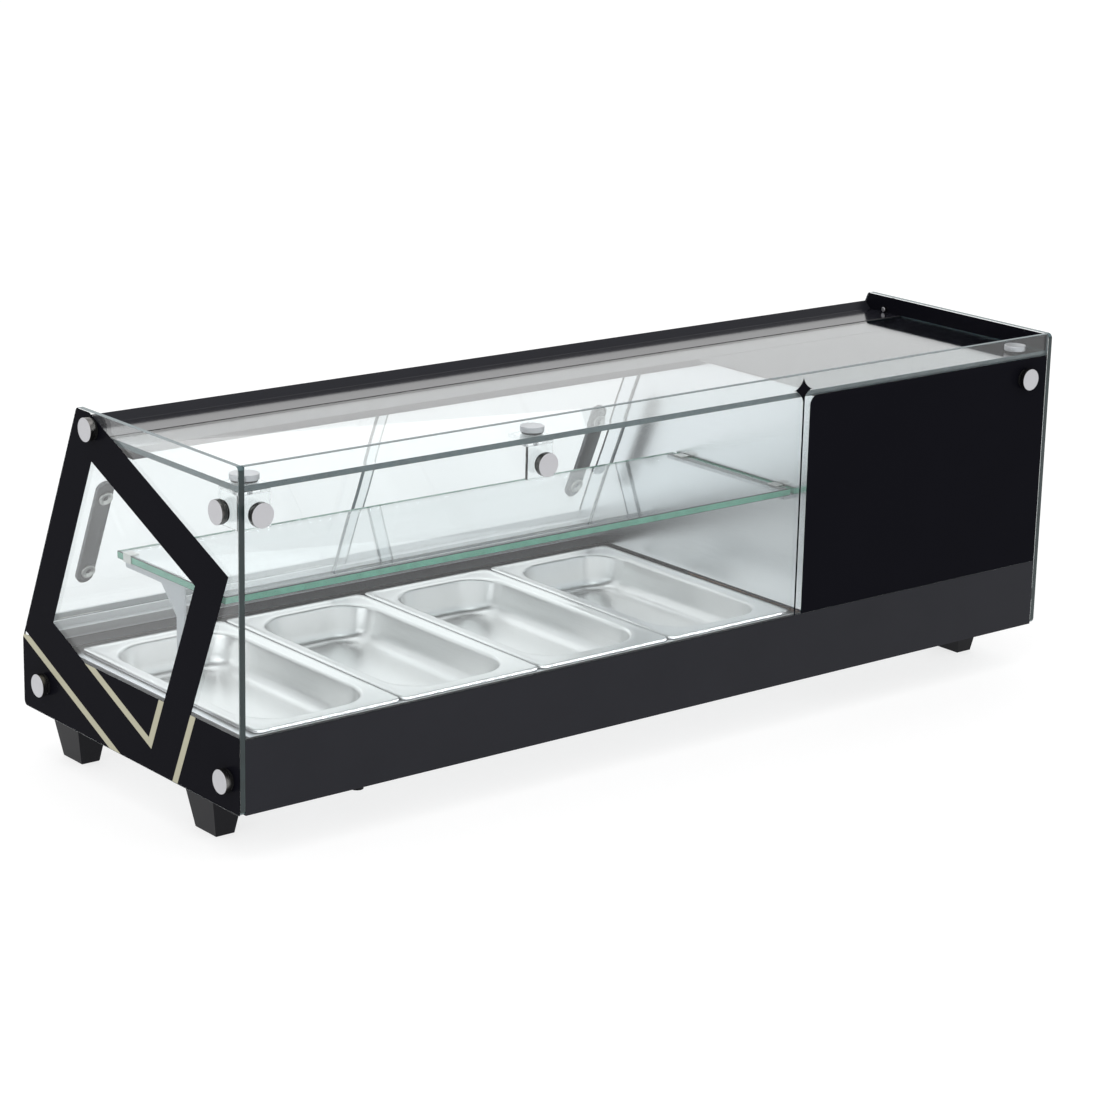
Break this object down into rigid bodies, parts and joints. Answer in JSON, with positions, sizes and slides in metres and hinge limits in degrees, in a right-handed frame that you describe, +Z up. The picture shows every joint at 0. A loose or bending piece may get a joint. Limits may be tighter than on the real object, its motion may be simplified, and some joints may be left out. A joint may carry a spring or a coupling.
{
  "type": "refrigerated deli case",
  "caption": "Countertop chilled display with glass front, roof and ends, drop-in pans, a glass shelf, sliding rear doors and a machine compartment at one end.",
  "frame": {"origin": "middle of the footprint, on the counter under the feet", "axes": "+X along the case towards the machine compartment, +Y towards the server's side (sliding doors), +Z up"},
  "size_m": [1.14, 0.428, 0.4],
  "materials": {
    "black_steel": "satin black powder coat",
    "stainless": "brushed stainless sheet",
    "pan_steel": "pressed stainless steel, satin",
    "cap_steel": "fine turned face",
    "clear_glass": "clear polished float glass",
    "printed_glass": "toughened glass with a black ceramic print",
    "shelf_clear": "green-edged float glass",
    "clear_plastic": "clear moulded plastic",
    "black_aluminium": "black anodised extrusion",
    "handle_grey": "dark grey satin",
    "bracket_steel": "light grey coated steel",
    "silver_aluminium": "satin anodised",
    "zinc_steel": "zinc plated",
    "galvanised": "galvanised sheet",
    "fins": "plain mill aluminium",
    "copper": "bright drawn copper",
    "compressor_black": "gloss black enamel",
    "black_rubber": "matt",
    "black_plastic": "fine moulded grain",
    "fan_plastic": "moulded",
    "foam_cream": "rigid foam, pores",
    "white_nylon": "natural nylon",
    "key_plastic": "moulded keys",
    "rocker_green": "translucent rocker",
    "led_white": "light modules on a white strip"
  },
  "bodies": {
    "cabinet": {"base_shell": "black_steel", "base_bottom_cover": "galvanised", "insulation_foam": "foam_cream", "well_liner": "stainless", "partition_liner": "stainless", "pan_crossbars": "stainless", "evaporator_coil": "copper", "drain_spout": "black_plastic", "foot_front_left": "black_plastic", "foot_rear_left": "black_plastic", "foot_front_right": "black_plastic", "foot_rear_right": "black_plastic", "foot_screws": "zinc_steel", "left_end_glass": "printed_glass", "right_end_glass": "printed_glass", "front_glass": "clear_glass", "top_glass": "clear_glass", "left_caps": "cap_steel", "right_caps": "cap_steel", "front_caps": "cap_steel", "top_caps": "cap_steel", "cap_washers": "black_rubber", "glass_brackets": "clear_plastic", "rear_top_beam": "black_steel", "top_gasket": "black_rubber", "upper_track": "black_aluminium", "lower_track": "silver_aluminium", "shelf_glass": "shelf_clear", "shelf_bracket_left": "bracket_steel", "shelf_bracket_right": "bracket_steel", "shelf_clips": "zinc_steel", "led_strip": "led_white", "machine_top_cover": "black_steel", "machine_rear_cover": "black_steel", "compressor": "compressor_black", "compressor_mounts": "black_rubber", "condenser": "fins", "fan_shroud": "galvanised", "fan_motor": "galvanised", "refrigerant_pipes": "copper", "control_fascia": "black_plastic", "power_inlet": "black_plastic"},
    "left_door": {"door_left_glass": "clear_glass", "handle_left": "handle_grey", "handle_left_bolts": "zinc_steel", "door_left_glides": "white_nylon"},
    "right_door": {"door_right_glass": "clear_glass", "handle_right": "handle_grey", "handle_right_bolts": "zinc_steel", "door_right_glides": "white_nylon"},
    "pan_1": {"pan_1": "pan_steel"},
    "pan_2": {"pan_2": "pan_steel"},
    "pan_3": {"pan_3": "pan_steel"},
    "pan_4": {"pan_4": "pan_steel"},
    "fan": {"fan_rotor": "fan_plastic"},
    "button_set": {"button_set": "key_plastic"},
    "button_up": {"button_up": "key_plastic"},
    "button_down": {"button_down": "key_plastic"},
    "power_rocker": {"power_rocker": "rocker_green"},
    "light_rocker": {"light_rocker": "rocker_green"}
  },
  "joints": [
    {"name": "left_door_slide", "type": "slide", "parent": "cabinet", "child": "left_door", "axis": [1, 0, 0], "range_m": [0, 0.34]},
    {"name": "right_door_slide", "type": "slide", "parent": "cabinet", "child": "right_door", "axis": [1, 0, 0], "range_m": [-0.36, 0]},
    {"name": "pan_1_lift", "type": "slide", "parent": "cabinet", "child": "pan_1", "axis": [0, 0, 1], "range_m": [0, 0.06]},
    {"name": "pan_2_lift", "type": "slide", "parent": "cabinet", "child": "pan_2", "axis": [0, 0, 1], "range_m": [0, 0.06]},
    {"name": "pan_3_lift", "type": "slide", "parent": "cabinet", "child": "pan_3", "axis": [0, 0, 1], "range_m": [0, 0.06]},
    {"name": "pan_4_lift", "type": "slide", "parent": "cabinet", "child": "pan_4", "axis": [0, 0, 1], "range_m": [0, 0.06]},
    {"name": "fan_spin", "type": "hinge", "parent": "cabinet", "child": "fan", "pos_m": [0.345, -0.118, 0.165], "axis": [0, 1, 0], "continuous": true},
    {"name": "button_set_press", "type": "slide", "parent": "cabinet", "child": "button_set", "axis": [0, -0.9157, -0.4019], "range_m": [0, 0.001], "stiffness_N_per_m": 150, "springref_m": -0.001},
    {"name": "button_up_press", "type": "slide", "parent": "cabinet", "child": "button_up", "axis": [0, -0.9157, -0.4019], "range_m": [0, 0.001], "stiffness_N_per_m": 150, "springref_m": -0.001},
    {"name": "button_down_press", "type": "slide", "parent": "cabinet", "child": "button_down", "axis": [0, -0.9157, -0.4019], "range_m": [0, 0.001], "stiffness_N_per_m": 150, "springref_m": -0.001},
    {"name": "power_rocker_tilt", "type": "hinge", "parent": "cabinet", "child": "power_rocker", "pos_m": [0.329, 0.12265, 0.33062], "axis": [1, 0, 0], "range_deg": [-8, 0]},
    {"name": "light_rocker_tilt", "type": "hinge", "parent": "cabinet", "child": "light_rocker", "pos_m": [0.441, 0.12265, 0.33062], "axis": [1, 0, 0], "range_deg": [-8, 0]}
  ]
}
